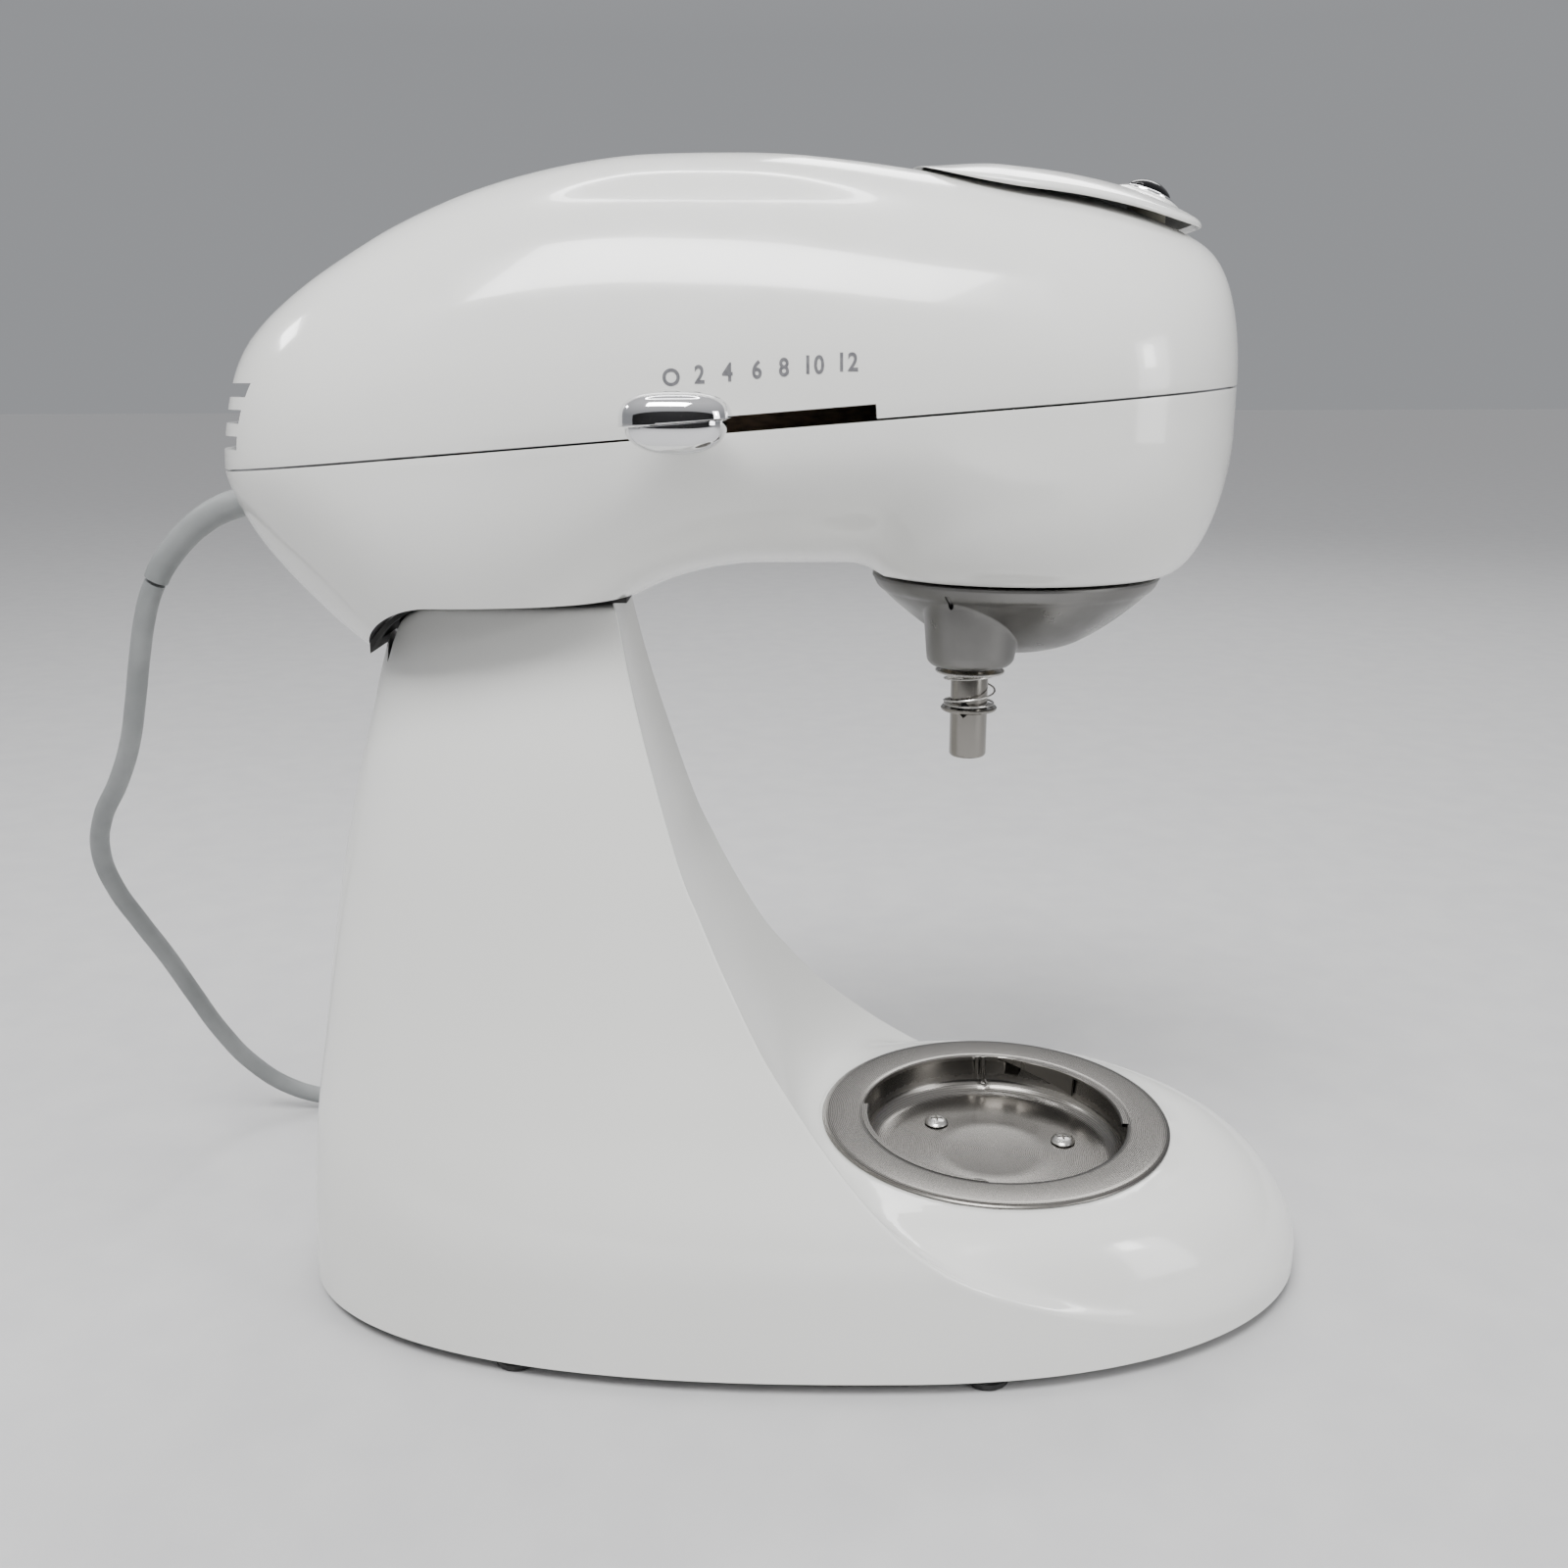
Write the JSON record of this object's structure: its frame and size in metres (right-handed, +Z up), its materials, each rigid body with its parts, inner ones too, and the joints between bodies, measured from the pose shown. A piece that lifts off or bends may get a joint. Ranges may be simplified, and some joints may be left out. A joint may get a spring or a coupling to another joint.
{
  "type": "stand mixer",
  "caption": "Tilt-head stand mixer: oval head on a swept column and base, planetary beater drive, clamp dish for a bowl, side speed lever, rear cord with plug.",
  "frame": {"origin": "on the table, under the middle of the body's length and width", "axes": "+X to the mixer's front, +Y to its left, +Z up"},
  "size_m": [0.4197, 0.2586, 0.356],
  "materials": {
    "white_paint": "gloss warm white",
    "black_plastic": "black",
    "black_rubber": "black",
    "brushed_steel": "satin",
    "die_cast_metal": "satin die-cast",
    "chrome": "polished",
    "grey_cord": "mid grey",
    "copper": "copper",
    "laminated_steel": "dull steel",
    "brass": "satin",
    "nylon": "natural nylon",
    "green_board": "green",
    "carbon": "carbon grey"
  },
  "bodies": {
    "stand": {"stand_casting": "white_paint", "base_cover": "black_plastic", "foot_front_left": "black_rubber", "foot_front_right": "black_rubber", "foot_rear_left": "black_rubber", "foot_rear_right": "black_rubber", "clamp_dish": "brushed_steel", "dish_screw_1": "brushed_steel", "dish_screw_2": "brushed_steel", "dish_screw_3": "brushed_steel", "hinge_pin": "brushed_steel", "hinge_bush_left": "brass", "hinge_bush_right": "brass", "power_cord": "grey_cord", "cord_coil": "grey_cord", "plug_body": "grey_cord", "plug_blade_left": "brass", "plug_blade_right": "brass"},
    "head": {"upper_housing": "white_paint", "lower_housing": "white_paint", "vent_cover": "white_paint", "badge_bezel": "chrome", "badge_dome": "black_plastic", "head_hinge_bracket": "die_cast_metal", "motor_core": "laminated_steel", "field_coil_front": "copper", "field_coil_rear": "copper", "motor_bracket_front": "die_cast_metal", "motor_bracket_rear": "die_cast_metal", "brush_upper": "carbon", "brush_lower": "carbon", "gearbox_cover": "die_cast_metal", "ring_gear": "laminated_steel", "shaft_bush": "brass", "seal_ring": "black_rubber", "speed_board": "green_board", "lever_track": "black_plastic", "strain_relief": "grey_cord"},
    "rotor": {"armature_shaft": "brushed_steel", "armature_core": "laminated_steel", "commutator": "copper", "cooling_fan": "black_plastic"},
    "planetary": {"planetary_cap": "die_cast_metal", "main_shaft": "brushed_steel", "worm_wheel": "nylon", "beater_bush": "brass"},
    "beater": {"beater_shaft": "brushed_steel", "beater_pinion": "laminated_steel", "drive_pin": "brushed_steel", "upper_washer": "brushed_steel", "beater_spring": "brushed_steel"},
    "washer": {"lock_washer": "brushed_steel"},
    "lever": {"knob_upper": "chrome", "knob_lower": "chrome", "lever_arm": "brushed_steel"},
    "lock": {"lock_shaft": "brushed_steel", "lock_lever": "black_plastic"}
  },
  "joints": [
    {"name": "head_tilt", "type": "hinge", "parent": "stand", "child": "head", "pos_m": [-0.106, 0, 0.2015], "axis": [0, -1, 0], "range_deg": [0, 35], "deforming": ["power_cord"]},
    {"name": "planetary_spin", "type": "hinge", "parent": "head", "child": "planetary", "pos_m": [0.067, 0, 0.2355], "axis": [0, 0, 1], "continuous": true},
    {"name": "beater_spin", "type": "hinge", "parent": "planetary", "child": "beater", "pos_m": [0.05135, -0.02076, 0.21], "axis": [0, 0, 1], "continuous": true},
    {"name": "motor_spin", "type": "hinge", "parent": "head", "child": "rotor", "pos_m": [0, 0.0235, 0.285], "axis": [1, 0, 0], "continuous": true},
    {"name": "speed_slide", "type": "slide", "parent": "head", "child": "lever", "axis": [0.997, 0, 0.0777], "range_m": [0, 0.046]},
    {"name": "washer_slide", "type": "slide", "parent": "beater", "child": "washer", "axis": [0, 0, 1], "range_m": [0, 0.008], "stiffness_N_per_m": 300, "springref_m": -0.001, "deforming": ["beater_spring"]},
    {"name": "lock_turn", "type": "hinge", "parent": "stand", "child": "lock", "pos_m": [-0.077, 0, 0.212], "axis": [0, 1, 0], "range_deg": [0, 90]}
  ],
  "couplings": [
    {"joint": "beater_spin", "follows": "planetary_spin", "ratio": -3.1667},
    {"joint": "motor_spin", "follows": "planetary_spin", "ratio": 30}
  ]
}
